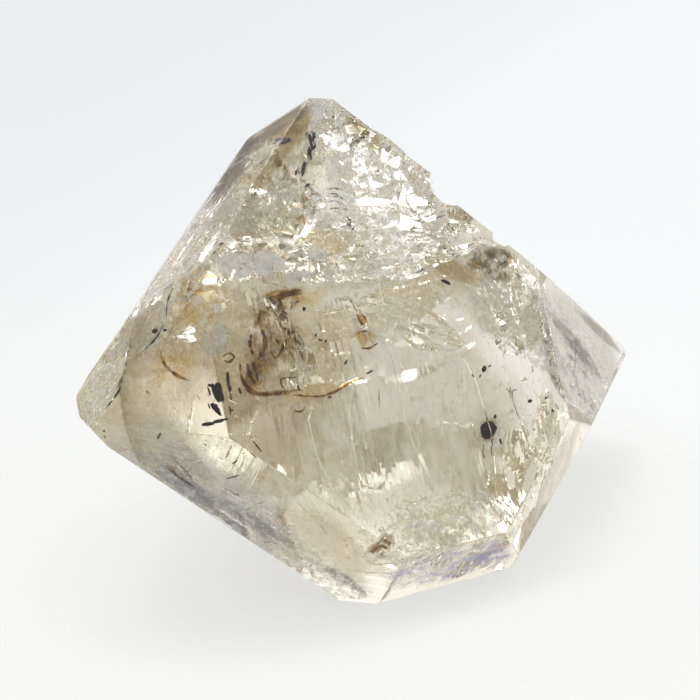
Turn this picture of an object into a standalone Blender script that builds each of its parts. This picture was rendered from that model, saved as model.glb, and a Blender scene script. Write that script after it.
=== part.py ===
"""Herkimer diamond: one doubly terminated quartz crystal lying on a prism face.

The crystal is a six-sided prism with six sloping faces at each end. Every face is a plane that is
cut off a block at its own distance from the centre, so the crystal is as uneven as a grown one.
Ridges are bevelled, the upper right edge is broken away, and the faces carry growth plates and
shallow hollows. Metres, +Z up, the view in the photograph looks along +Y from 21 degrees above.
"""

import math

import bmesh
import bpy
from mathutils import Matrix, Vector, noise

MM = 0.001

# How the long axis lies: turned about the vertical, dipping at its right end, and rolled about itself
AXIS_TURN = math.radians(32.9)
AXIS_DIP = math.radians(-2.5)
AXIS_ROLL = math.radians(2.5)
END_SLOPE = math.radians(51.8)  # between the long axis and the normal of an end face

# Distance of each face from the centre in mm. Each row goes round the long axis in steps of sixty
# degrees from the side that the crystal lies on.
PRISM = (10.7, 16.45, 10.2, 17.5, 7.3, 13.5)
LEFT_END = (13.05, 16.65, 17.7, 17.2, 11.5, 9.6)
RIGHT_END = (15.4, 15.1, 12.7, 11.1, 12.5, 13.8)

# Worn tips: direction and distance in mm
LEFT_TIP = ((-0.98, -0.13, 0.0), 17.8)
TOP_TIP = ((0.12, 0.21, 0.96), 15.8)
RIGHT_TIP = ((0.93, 0.3, 0.1), 19.5)

# Ridges worn to a narrow band: the two faces, the share of the first in the direction, depth in mm
RIDGE_BANDS = (
    (("left", 3), ("left", 4), 0.25, 0.3),
    (("prism", 2), ("right", 1), 0.35, 1.1),
    (("left", 0), ("left", 5), 0.5, 0.3),
    (("prism", 4), ("prism", 5), 0.5, 0.4),
    (("right", 4), ("right", 5), 0.5, 0.5),
)
EDGE_BEVEL = 0.12  # mm, the soft line along every other ridge

# The break along the upper right edge: a slab is split off it down to this plane
SPLIT_NORMAL = (0.608, 0.266, 0.7485)
SPLIT_ALONG = (0.794, -0.218, -0.568)
SPLIT_DISTANCE = 10.8  # mm from the centre
SPLIT_START = -2.7  # mm along the edge, where the split begins with a steep end

# Scoops of the break: centre, half lengths along the split, outward and in depth, and wobble, in mm
SPLIT_SCOOPS = (
    ((5.4, -1.5, 10.75), (1.05, 0.6, 8.0), 0.10),
    ((8.85, -0.55, 7.5), (0.6, 0.42, 8.0), 0.08),
)

# Shell-shaped breaks on the front below the split, and chips on the hidden ridges: face, place along
# and across it, half length, half width, depth, turn in degrees, and wobble, in mm
HOLLOWS = (
    (("prism", 2), -1.2, 9.0, 5.0, 3.3, 0.80, -38, 0.16),
    (("prism", 2), -4.9, 10.3, 3.1, 2.2, 0.55, 60, 0.14),
    (("prism", 2), 2.6, 5.9, 3.0, 1.9, 0.65, -30, 0.18),
    (("prism", 2), -6.6, 7.2, 3.9, 2.0, 0.40, 12, 0.14),
    (("prism", 2), -1.8, 5.4, 3.6, 1.3, 0.30, -8, 0.12),
    (("prism", 4), 3.2, -8.6, 3.6, 1.3, 0.50, 42, 0.20),
    (("prism", 4), 10.7, 2.6, 2.2, 0.9, 0.40, 90, 0.16),
    (("left", 5), -12.4, -2.5, 2.4, 0.8, 0.40, -20, 0.16),
    (("left", 3), -3.4, -5.1, 2.6, 0.8, 0.35, 20, 0.14),
    (("right", 0), 9.0, 3.2, 2.2, 0.8, 0.35, -20, 0.14),
)

# Growth plates standing on the faces and shallow pits sunk in them: face, place along and across,
# half length, half width, height (below zero for a pit), corners and turn in degrees
PLATES = (
    (("prism", 2), -9.6, -5.8, 0.9, 2.5, 0.09, 7, 4),
    (("prism", 2), -6.9, -6.0, 1.2, 3.6, 0.08, 8, -3),
    (("prism", 2), -2.8, -5.2, 1.5, 5.4, 0.10, 9, 2),
    (("prism", 2), 1.0, -7.0, 0.8, 4.2, -0.09, 8, 0),
    (("prism", 2), 4.6, -5.6, 1.0, 3.9, 0.08, 8, 5),
    (("prism", 2), -11.6, 0.6, 1.0, 3.0, -0.08, 6, 0),
    (("prism", 2), 4.3, 0.2, 1.3, 2.4, -0.07, 6, -4),
    (("prism", 1), -2.9, 0.1, 0.8, 1.7, 0.06, 6, 0),
    (("prism", 1), 0.9, -0.2, 1.1, 1.5, -0.05, 6, 0),
    (("left", 1), -2.2, 2.4, 3.0, 1.9, 0.09, 3, 10),
    (("left", 1), -8.4, 4.2, 2.2, 0.9, -0.07, 3, 40),
    (("left", 2), -9.3, 0.6, 2.0, 1.7, 0.08, 3, 75),
    (("right", 2), 5.6, -3.6, 3.4, 1.8, 0.08, 3, 0),
    (("left", 4), -7.6, -2.2, 2.4, 1.6, -0.08, 3, 20),
    (("left", 5), -4.5, 1.8, 4.4, 2.4, 0.10, 3, 0),
    (("prism", 4), 1.2, -2.4, 1.9, 6.2, 0.10, 6, 3),
    (("prism", 4), -3.9, -3.4, 1.2, 5.0, -0.08, 6, 0),
    (("prism", 4), 6.4, 1.4, 1.3, 4.4, 0.08, 6, -4),
    (("prism", 5), 3.5, 1.8, 0.6, 1.7, 0.06, 6, 0),
    (("right", 0), 7.2, 1.0, 2.6, 1.5, -0.08, 3, 180),
    (("right", 5), 4.0, 2.0, 3.2, 1.9, -0.08, 3, 60),
)

# A small lump left on the lower right corner: centre and radius in mm
LUMPS = (((8.7, -9.75, -10.2), 0.38),)

# The swelling of the upper right edge above the break: centre, half lengths along, outward, in depth
SWELLING = ((1.2, -3.1, 13.2), (3.3, 1.6, 3.0))


def clear_scene():
    for obj in list(bpy.data.objects):
        bpy.data.objects.remove(obj, do_unlink=True)


def collection(name):
    found = bpy.data.collections.new(name)
    bpy.context.scene.collection.children.link(found)
    return found


def axis_frame():
    """Turns crystal directions, with X along the long axis, into the frame that the crystal lies in."""
    return Matrix.Rotation(AXIS_TURN, 3, "Z") @ Matrix.Rotation(-AXIS_DIP, 3, "Y")


def face_normal(kind, step):
    """The outward direction of a face, from its kind and its step round the long axis."""
    if kind == "prism" and step == 0:
        return Vector((0.0, 0.0, -1.0))
    around = math.radians(-90 - 60 * step) + AXIS_ROLL
    outward = Vector((0.0, math.cos(around), math.sin(around)))
    along = {"prism": 0.0, "left": -math.cos(END_SLOPE), "right": math.cos(END_SLOPE)}[kind]
    spread = 1.0 if kind == "prism" else math.sin(END_SLOPE)
    return (axis_frame() @ (Vector((along, 0.0, 0.0)) + outward * spread)).normalized()


def face_distance(kind, step):
    return {"prism": PRISM, "left": LEFT_END, "right": RIGHT_END}[kind][step] * MM


def cut_plane(bm, normal, distance):
    """Takes away what lies beyond a plane and closes the cut with one flat face."""
    geom = bm.verts[:] + bm.edges[:] + bm.faces[:]
    bmesh.ops.bisect_plane(
        bm, geom=geom, dist=1e-7, plane_co=normal * distance, plane_no=normal, clear_outer=True
    )
    open_edges = [edge for edge in bm.edges if edge.is_boundary]
    if open_edges:
        bmesh.ops.holes_fill(bm, edges=open_edges, sides=0)


def cut_ridge(bm, first, second, share, depth):
    """Wears the ridge between two faces down to a band at a depth below the ridge line."""
    mix = face_normal(*first) * share + face_normal(*second) * (1.0 - share)
    reach = face_distance(*first) * share + face_distance(*second) * (1.0 - share)
    cut_plane(bm, mix.normalized(), reach / mix.length - depth * MM)


def crystal_block():
    """The uneven crystal of flat faces, with its ridges bevelled."""
    bm = bmesh.new()
    bmesh.ops.create_cube(bm, size=60 * MM)
    for kind in ("prism", "left", "right"):
        for step in range(6):
            cut_plane(bm, face_normal(kind, step), face_distance(kind, step))
    for direction, distance in (LEFT_TIP, TOP_TIP, RIGHT_TIP):
        cut_plane(bm, Vector(direction).normalized(), distance * MM)
    for first, second, share, depth in RIDGE_BANDS:
        cut_ridge(bm, first, second, share, depth)
    bmesh.ops.remove_doubles(bm, verts=bm.verts[:], dist=0.08 * MM)
    bmesh.ops.dissolve_degenerate(bm, edges=bm.edges[:], dist=0.05 * MM)
    bmesh.ops.bevel(
        bm, geom=bm.edges[:], offset=EDGE_BEVEL * MM, offset_type="OFFSET",
        segments=2, profile=0.5, affect="EDGES", clamp_overlap=True,
    )
    bmesh.ops.recalc_face_normals(bm, faces=bm.faces[:])
    return bm


def face_frame(kind, step):
    """Foot of the centre on a face, with directions along the long axis, across it, and outward."""
    normal = face_normal(kind, step)
    long_axis = axis_frame() @ Vector((1.0, 0.0, 0.0))
    along = (long_axis - normal * long_axis.dot(normal)).normalized()
    across = normal.cross(along)
    return normal * face_distance(kind, step), along, across, normal


def placed(columns, origin):
    turn = Matrix(columns).transposed().to_4x4()
    turn.translation = origin
    return turn


def add_object(name, bm, place, group):
    mesh = bpy.data.meshes.new(name)
    bm.to_mesh(mesh)
    bm.free()
    mesh.transform(place)
    obj = bpy.data.objects.new(name, mesh)
    group.objects.link(obj)
    return obj


def wobbly_ball(half_lengths, wobble, seed, detail=3):
    """A stretched ball whose skin wanders in and out like a shell-shaped break."""
    bm = bmesh.new()
    bmesh.ops.create_icosphere(bm, subdivisions=detail, radius=1.0)
    for vert in bm.verts:
        spot = vert.co * 2.1 + Vector((seed * 3.7, seed * 1.3, seed * 5.1))
        swing = noise.noise(spot) * wobble + math.sin(11.0 * vert.co.z + 5.0 * vert.co.x) * wobble * 0.25
        vert.co = Vector(
            (
                vert.co.x * (half_lengths[0] + swing * 0.6) * MM,
                vert.co.y * (half_lengths[1] + swing * 0.6) * MM,
                vert.co.z * (half_lengths[2] + swing) * MM,
            )
        )
    bmesh.ops.recalc_face_normals(bm, faces=bm.faces[:])
    return bm


def growth_plate(half_length, half_width, height, corners):
    """A flat uneven plate with sloping sides, thick enough to cut cleanly through the face."""
    slope = 0.12 * MM
    up = abs(height) * MM
    below = 0.3 * MM
    bm = bmesh.new()
    bmesh.ops.create_cone(
        bm, cap_ends=True, segments=corners, radius1=1.0, radius2=1.0, depth=up + below,
        matrix=Matrix.Translation((0.0, 0.0, (up - below) / 2)),
    )
    for vert in bm.verts:
        narrow = slope if vert.co.z > 0 else 0.0
        uneven = 1.0 + 0.3 * noise.noise(Vector((vert.co.x * 1.7, vert.co.y * 1.7, half_length * 3.1)))
        vert.co.x *= half_length * uneven * MM - narrow
        vert.co.y *= half_width * uneven * MM - narrow
    bmesh.ops.recalc_face_normals(bm, faces=bm.faces[:])
    return bm


def join_tool(crystal, tool, operation):
    step = crystal.modifiers.new(tool.name, "BOOLEAN")
    step.operation = operation
    step.solver = "EXACT"
    step.object = tool
    tool.hide_render = True
    tool.display_type = "WIRE"


def split_frame():
    normal = Vector(SPLIT_NORMAL).normalized()
    along = Vector(SPLIT_ALONG)
    along = (along - normal * along.dot(normal)).normalized()
    return along, normal, along.cross(normal)


def add_split(crystal, shift, tools):
    """Splits the slab off the upper right edge, then takes scoops out of the split."""
    along, normal, depthwise = split_frame()
    length, thick, deep = 30.0, 6.0, 44.0
    bm = bmesh.new()
    bmesh.ops.create_cube(bm, size=1.0)
    for vert in bm.verts:
        lean = 0.35 if vert.co.y > 0 else 0.0
        start = SPLIT_START - lean * 4.0 if vert.co.x < 0 else SPLIT_START + length
        vert.co = Vector((start, SPLIT_DISTANCE + (vert.co.y + 0.5) * thick, vert.co.z * deep)) * MM
    tool = add_object("split_tool", bm, placed((along, normal, depthwise), shift), tools)
    join_tool(crystal, tool, "DIFFERENCE")
    for number, (centre, half_lengths, wobble) in enumerate(SPLIT_SCOOPS):
        place = placed((along, normal, depthwise), Vector(centre) * MM + shift)
        tool = add_object(
            f"split_scoop_{number}", wobbly_ball(half_lengths, wobble, number + 20), place, tools
        )
        join_tool(crystal, tool, "DIFFERENCE")


def add_swelling(crystal, shift, tools):
    along, normal, depthwise = split_frame()
    centre, half_lengths = SWELLING
    place = placed((along, normal, depthwise), Vector(centre) * MM + shift)
    tool = add_object("swelling", wobbly_ball(half_lengths, 0.12, 7), place, tools)
    join_tool(crystal, tool, "UNION")


def add_hollows(crystal, shift, tools):
    """Presses a wide ball a little way into each face, so that it leaves a shallow shell-shaped break."""
    for number, spec in enumerate(HOLLOWS):
        face, along_at, across_at, half_length, half_width, depth, turn, wobble = spec
        foot, along, across, normal = face_frame(*face)
        spin = Matrix.Rotation(math.radians(turn), 3, normal)
        rise = half_width * 0.9
        reach = math.sqrt(1.0 - (rise / (rise + depth)) ** 2)
        half = (half_length / reach, half_width / reach, rise + depth)
        centre = foot + (along * along_at + across * across_at + normal * rise) * MM + shift
        tool = add_object(
            f"hollow_{number}", wobbly_ball(half, wobble, number, detail=4),
            placed((spin @ along, spin @ across, normal), centre), tools,
        )
        join_tool(crystal, tool, "DIFFERENCE")


def add_plates(crystal, shift, tools):
    for number, (face, along_at, across_at, half_length, half_width, height, corners, turn) in enumerate(PLATES):
        foot, along, across, normal = face_frame(*face)
        spin = Matrix.Rotation(math.radians(turn), 3, normal)
        sign = 1.0 if height > 0 else -1.0
        columns = (spin @ along, (spin @ across) * sign, normal * sign)
        centre = foot + (along * along_at + across * across_at) * MM + shift
        tool = add_object(
            f"plate_{number}", growth_plate(half_length, half_width, height, corners),
            placed(columns, centre), tools,
        )
        join_tool(crystal, tool, "UNION" if height > 0 else "DIFFERENCE")


def add_lumps(crystal, shift, tools):
    for number, (centre, radius) in enumerate(LUMPS):
        ball = wobbly_ball((radius, radius, radius), 0.1 * radius, number + 40, detail=2)
        tool = add_object(f"lump_{number}", ball, Matrix.Translation(Vector(centre) * MM + shift), tools)
        join_tool(crystal, tool, "UNION")


def quartz_material():
    made = bpy.data.materials.new("smoky_quartz")
    made.use_nodes = True
    shader = made.node_tree.nodes["Principled BSDF"]
    shader.inputs["Base Color"].default_value = (0.80, 0.75, 0.68, 1.0)
    shader.inputs["Roughness"].default_value = 0.03
    shader.inputs["IOR"].default_value = 1.544
    shader.inputs["Transmission Weight"].default_value = 1.0
    made.diffuse_color = (0.80, 0.75, 0.68, 1.0)
    return made


def footprint_shift(bm):
    """Moves the crystal so that the middle of its lowest side is the origin."""
    low = Vector([min(vert.co[axis] for vert in bm.verts) for axis in range(3)])
    high = Vector([max(vert.co[axis] for vert in bm.verts) for axis in range(3)])
    return Vector((-(low.x + high.x) / 2, -(low.y + high.y) / 2, -low.z))


def main():
    clear_scene()
    bodies = collection("herkimer_diamond")
    tools = collection("shaping_tools")
    block = crystal_block()
    shift = footprint_shift(block)
    crystal = add_object("quartz_crystal", block, Matrix.Translation(shift), bodies)
    add_swelling(crystal, shift, tools)
    add_split(crystal, shift, tools)
    add_plates(crystal, shift, tools)
    add_hollows(crystal, shift, tools)
    add_lumps(crystal, shift, tools)
    crystal.data.materials.append(quartz_material())


main()
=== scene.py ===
"""Herkimer diamond: the looks of a smoky quartz crystal with its cracks, veils, grains and stains.

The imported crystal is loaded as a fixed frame. What is sealed in it is built here as thin closed
meshes. Each is placed by the ray that enters the crystal at a pixel of the photograph, bends at the
surface as light does in quartz, and runs a named depth into the stone. Lengths in the tables are mm.
"""

import math

import bmesh
import bpy
import numpy as np
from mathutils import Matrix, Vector
from mathutils.bvhtree import BVHTree


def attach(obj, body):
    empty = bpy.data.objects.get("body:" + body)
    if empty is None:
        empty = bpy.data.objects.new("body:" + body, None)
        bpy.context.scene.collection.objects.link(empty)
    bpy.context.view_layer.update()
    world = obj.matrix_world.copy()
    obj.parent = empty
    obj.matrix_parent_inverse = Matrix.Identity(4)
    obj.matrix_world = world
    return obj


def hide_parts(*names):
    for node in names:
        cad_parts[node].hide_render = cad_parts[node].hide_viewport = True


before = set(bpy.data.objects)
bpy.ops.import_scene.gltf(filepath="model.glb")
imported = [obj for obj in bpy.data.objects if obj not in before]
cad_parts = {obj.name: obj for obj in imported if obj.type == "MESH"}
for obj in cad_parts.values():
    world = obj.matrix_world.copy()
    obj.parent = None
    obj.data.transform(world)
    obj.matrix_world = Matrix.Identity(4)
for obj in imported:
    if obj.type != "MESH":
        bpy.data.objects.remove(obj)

bl_info = {
    "name": "Herkimer Diamond",
    "version": (1, 0, 0),
    "blender": (4, 5, 0),
    "location": "View3D > Sidebar > Herkimer",
    "description": "Builds the inside and the looks of a Herkimer quartz crystal",
    "category": "Add Mesh",
}

MM = 0.001
NODE = "quartz_crystal"
BODY = "root"

# The photograph: side in pixels, pixels per mm, the camera's height angle and its distance in mm
PICTURE = 700
PIXELS_PER_MM = 16.0
ELEVATION = math.radians(21)
DISTANCE = 172.5
CENTRE = (-1.03798043, 2.07120227, 10.70000045)  # the crystal's centre in the frame
AIM = (-0.3125, 0.0, 0.0)  # from the centre to the middle of the picture

SENSOR = 36.0  # the camera's sensor width in mm

QUARTZ_IOR = 1.544
LONG_AXIS = (0.839, 0.542, -0.043)
PRISM_SLOPE = 0.12  # most that a prism face's normal leans along the long axis

# The break along the upper right edge: its outward direction, the direction along it, and the point
# in mm from the centre that its ripples run out from
BREAK_NORMAL = (0.608, 0.266, 0.7485)
BREAK_ALONG = (0.794, -0.218, -0.568)
STRUCK = (3.0, 6.0, 14.0)
BROKEN_SLOPE = 0.9  # least cosine between the break's direction and the normals on it

RIGHT = np.array((1.0, 0.0, 0.0))
UP = np.array((0.0, math.sin(ELEVATION), math.cos(ELEVATION)))
NEAR = np.array((0.0, -math.cos(ELEVATION), math.sin(ELEVATION)))


# Colour, placing and mesh helpers


def linear(code, alpha=1.0):
    """The linear colour of an sRGB hex code: c / 12.92 up to 0.04045, and above it
    ((c + 0.055) / 1.055) ** 2.4."""
    parts = [int(code[i:i + 2], 16) / 255 for i in (1, 3, 5)]
    return (*[c / 12.92 if c <= 0.04045 else ((c + 0.055) / 1.055) ** 2.4 for c in parts], alpha)


def read(items, field, width=1, kind=float):
    """A field of all the items of a mesh as an array, in rows of width values."""
    values = np.empty(len(items) * width, kind)
    items.foreach_get(field, values)
    return values.reshape(-1, width) if width > 1 else values


def crystal_tree():
    """The crystal's surface as a tree that rays can be cast on."""
    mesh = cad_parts[NODE].data
    faces = [tuple(p.vertices) for p in mesh.polygons]
    return BVHTree.FromPolygons([Vector(c) for c in read(mesh.vertices, "co", 3)], faces)


TREE = crystal_tree()


def camera_place():
    """Where the camera stands, in metres: the aimed point plus the distance towards the viewer."""
    return (np.array(CENTRE) + np.array(AIM) + NEAR * DISTANCE) * MM


def entry(u, v):
    """Where the ray of a pixel enters the crystal, the outward normal there, and the ray bent by it.

    Snell: the ray d meets the normal n with cosine c = -d.n, and goes on along
    d / ior + n (c / ior - sqrt(1 - (1 - c * c) / ior ** 2)).
    """
    half = PICTURE / 2
    reach = DISTANCE * PIXELS_PER_MM
    ray = RIGHT * (u - half) / reach - UP * (v - half) / reach - NEAR
    ray = ray / np.linalg.norm(ray)
    hit, normal, _, _ = TREE.ray_cast(Vector(camera_place()), Vector(ray))
    if hit is None:
        raise RuntimeError(f"the ray through pixel {u}, {v} misses the crystal")
    normal = np.array(normal)
    cosine = -ray @ normal
    bent = ray / QUARTZ_IOR + normal * (
        cosine / QUARTZ_IOR - math.sqrt(1 - (1 - cosine * cosine) / QUARTZ_IOR ** 2)
    )
    return np.array(hit), normal, bent


def inside(u, v, depth):
    """The point that shows at a pixel, a depth in mm behind the surface along the bent ray."""
    hit, _, bent = entry(u, v)
    return hit + bent * depth * MM


def face_leans(u, v):
    """The leans of a sheet that lies parallel to the face seen at a pixel: -n.right / n.near and
    -n.up / n.near."""
    _, normal, _ = entry(u, v)
    return -(normal @ RIGHT) / (normal @ NEAR), -(normal @ UP) / (normal @ NEAR)


def outer_planes():
    """Normals and distances of the crystal's large flat faces, read from its triangles.

    Triangles are grouped by normal and distance; a group of over 4 square mm with the whole crystal
    behind it is one outer face.
    """
    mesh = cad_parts[NODE].data
    normals = read(mesh.polygons, "normal", 3)
    centres = read(mesh.polygons, "center", 3)
    areas = read(mesh.polygons, "area")
    corners = read(mesh.vertices, "co", 3)
    keys = np.round(np.c_[normals * 50, (normals * centres).sum(1)[:, None] / MM * 5]).astype(int)
    _, group = np.unique(keys, axis=0, return_inverse=True)
    group = group.ravel()
    size = np.bincount(group, areas)
    found = []
    for g in np.nonzero(size > 4 * MM * MM)[0]:
        chosen = group == g
        normal = (normals[chosen] * areas[chosen][:, None]).sum(0)
        normal /= np.linalg.norm(normal)
        reach = (centres[chosen] @ normal).mean()
        if (corners @ normal).max() < reach + 0.35 * MM:
            found.append((*normal, reach))
    return np.array(found)


PLANES = outer_planes()


def kept_inside(points, margin):
    """Moves points back behind every outer face: p - n * max(0, p.n - reach + margin)."""
    points = points.copy()
    for _ in range(3):
        for row in PLANES:
            over = np.maximum(points @ row[:3] - row[3] + margin, 0)
            points -= over[..., None] * row[:3]
    return points


def mesh_object(name, points, faces, material, smooth=True, rim=None, sides=None):
    """A mesh that rides on the crystal, with its place in its vertices. The attribute rim holds how
    far each point is from the outline, from 0 there to 1 in the middle. Sides holds which of two
    finishes each face has."""
    mesh = bpy.data.meshes.new(name)
    mesh.from_pydata(points.reshape(-1, 3), [], faces)
    mesh.update()
    if rim is not None:
        mesh.attributes.new("rim", "FLOAT", "POINT").data.foreach_set("value", rim.ravel())
    mesh.polygons.foreach_set("use_smooth", np.full(len(mesh.polygons), smooth))
    for finish in material if isinstance(material, tuple) else (material,):
        mesh.materials.append(finish)
    if sides is not None:
        mesh.polygons.foreach_set("material_index", sides)
    obj = bpy.data.objects.new(name, mesh)
    bpy.context.scene.collection.objects.link(obj)
    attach(obj, BODY)
    return obj


def ring_faces(count, rings, spokes):
    """Faces of count closed bodies, each a first pole, rings of points, and a last pole.

    Body k starts at k * (rings * spokes + 2). Quads join ring i to ring i + 1, triangles the poles.
    """
    start = (np.arange(count) * (rings * spokes + 2))[:, None]
    j = np.arange(spokes)
    k = (j + 1) % spokes
    i = np.arange(rings - 1)[:, None]
    quads = np.stack([1 + i * spokes + j, 1 + (i + 1) * spokes + j,
                      1 + (i + 1) * spokes + k, 1 + i * spokes + k], -1).reshape(-1, 4)
    last = 1 + (rings - 1) * spokes
    first_fan = np.stack([np.zeros_like(j), 1 + j, 1 + k], -1)
    last_fan = np.stack([np.full_like(j, last + spokes), last + k, last + j], -1)
    quads = (start[:, :, None] + quads).reshape(-1, 4)
    fans = (start[:, :, None] + np.r_[first_fan, last_fan]).reshape(-1, 3)
    return quads.tolist() + fans.tolist()


def face_sides(count, rings, spokes):
    """0 for the faces of ring_faces on the first side of each body, 1 for those on the other."""
    ring = np.repeat((np.arange(rings - 1) >= rings // 2).astype(np.int32), spokes)
    fan = np.repeat(np.array([0, 1], np.int32), spokes)
    return np.r_[np.tile(ring, count), np.tile(fan, count)]


def unit(vectors):
    return vectors / np.linalg.norm(vectors, axis=-1, keepdims=True)


def lens_bodies(centres, a, b, thick, rings, spokes, wobble, relief, rng):
    """Thin closed lenses, one per row of centres, as an array (count, rings * spokes + 2, 3).

    The profile runs from the middle of one side over the rim to the middle of the other: with q from
    0 to 1, r = 1 - |1 - 2 q| and height h = sign(1 - 2 q) * thick * sqrt(1 - r * r). Round the lens
    the point is centre + r w(t) (cos t a + sin t b) + n (h + relief), with the outline
    w(t) = 1 + wobble * sum of sin(k t + phase) / sqrt(k) for k from 2 to 7.
    """
    count = len(centres)
    n = unit(np.cross(a, b))
    q = np.linspace(0, 1, rings + 2)[:, None]
    t = np.linspace(0, 2 * math.pi, spokes, endpoint=False)[None, :]
    r = np.broadcast_to(1 - np.abs(1 - 2 * q), (rings + 2, spokes))
    h = np.sign(1 - 2 * q) * np.sqrt(np.clip(1 - r * r, 0, 1))
    phase = rng.uniform(0, 2 * math.pi, (count, 6, 1))
    order = np.arange(2, 8)[None, :, None]
    outline = 1 + wobble * (np.sin(order * t[None] + phase) / np.sqrt(order)).sum(1)
    x = r[None] * outline[:, None, :] * np.cos(t)[None]
    y = r[None] * outline[:, None, :] * np.sin(t)[None]
    lift = relief(x, y) * MM
    points = (
        centres[:, None, None, :]
        + x[..., None] * a[:, None, None, :]
        + y[..., None] * b[:, None, None, :]
        + (h[None] * np.asarray(thick).reshape(-1, 1, 1) + lift)[..., None] * n[:, None, None, :]
    )
    return np.concatenate(
        [points[:, :1, 0], points[:, 1:-1].reshape(count, -1, 3), points[:, -1:, 0]], 1)


def picture_axes(turn, half_long, half_wide, lean_right, lean_up):
    """Half axes of a sheet whose outline in the picture is turned by turn degrees.

    A picture direction (x, y) gets the depth x lean_right + y lean_up towards the viewer.
    """
    turn = math.radians(turn)
    axes = []
    for x, y in ((math.cos(turn) * half_long, math.sin(turn) * half_long),
                 (-math.sin(turn) * half_wide, math.cos(turn) * half_wide)):
        axes.append((RIGHT * x + UP * y + NEAR * (x * lean_right + y * lean_up)) * MM)
    return axes


def rim_values(count, rings, spokes):
    """1 - r for each point of count lens bodies, with r = 1 - |1 - 2 q| as in lens_bodies."""
    q = np.linspace(0, 1, rings + 2)[1:-1]
    one = np.r_[1.0, np.repeat(np.abs(1 - 2 * q), spokes), 1.0]
    return np.tile(one, count).astype(np.float32)


def flat(x, y):
    return np.zeros_like(x)


def shell(bend, ripple, waves, seed):
    """Relief of a shell-shaped crack in mm: bend r^2 plus ripples round a point off its edge."""
    rng = np.random.default_rng(seed)
    cx, cy = unit(rng.normal(size=2)) * 1.2

    def relief(x, y):
        away = np.hypot(x - cx, y - cy)
        return bend * (x * x + y * y) + ripple * np.sin(waves * away * (1 + 0.3 * away))

    return relief


def flaked(cells, tilt, seed, bend):
    """Relief of a crushed crack in mm: each point takes the slope of its nearest cell middle.

    height = bend r^2 + slope . (p - middle) + step, with slopes and steps drawn for each cell.
    """
    rng = np.random.default_rng(seed)
    middle = rng.uniform(-1.3, 1.3, (cells, 2))
    slope = rng.normal(0, tilt, (cells, 2))
    step = rng.normal(0, tilt * 0.06, cells)

    def relief(x, y):
        p = np.stack([x, y], -1)
        away = ((p[..., None, :] - middle) ** 2).sum(-1)
        k = away.argmin(-1)
        return bend * (x * x + y * y) + ((p - middle[k]) * slope[k]).sum(-1) + step[k]

    return relief


def sheet(name, material, place, axes, relief, rings, spokes, seed, smooth):
    """One crack or veil: a lens_bodies body with its relief, kept inside the crystal."""
    rng = np.random.default_rng(seed)
    body = lens_bodies(place[None], axes[0][None], axes[1][None], [0.02 * MM], rings, spokes,
                       0.08, relief, rng)
    return mesh_object(name, kept_inside(body, 0.12 * MM), ring_faces(1, rings, spokes), material,
                       smooth, rim_values(1, rings, spokes), face_sides(1, rings, spokes))


def cut_across(bm, origin, direction, places, wanted):
    """Cuts a mesh by planes across a direction, where the face normals are wanted."""
    for place in places:
        chosen = [f for f in bm.faces if wanted(f.normal)]
        edges = {edge for face in chosen for edge in face.edges}
        verts = {vert for edge in edges for vert in edge.verts}
        bmesh.ops.bisect_plane(bm, geom=[*verts, *edges, *chosen], dist=1e-8,
                               plane_co=origin + direction * place, plane_no=direction)


def region_weights(mesh, chosen):
    """For each vertex the unit sum of area times normal over the chosen faces round it, and whether
    all faces round it are chosen."""
    normals, areas = read(mesh.polygons, "normal", 3), read(mesh.polygons, "area")
    sizes = read(mesh.polygons, "loop_total", kind=int)
    corners = read(mesh.loops, "vertex_index", kind=int)
    picked = chosen(normals)
    face = np.repeat(np.arange(len(areas)), sizes)
    total, part = np.zeros(len(mesh.vertices)), np.zeros(len(mesh.vertices))
    pointing = np.zeros((len(mesh.vertices), 3))
    np.add.at(total, corners, areas[face])
    np.add.at(part, corners, (areas * picked)[face])
    np.add.at(pointing, corners, (normals * (areas * picked)[:, None])[face])
    pointing /= np.maximum(np.linalg.norm(pointing, axis=1, keepdims=True), 1e-20)
    return pointing, part > 0.995 * total


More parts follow.
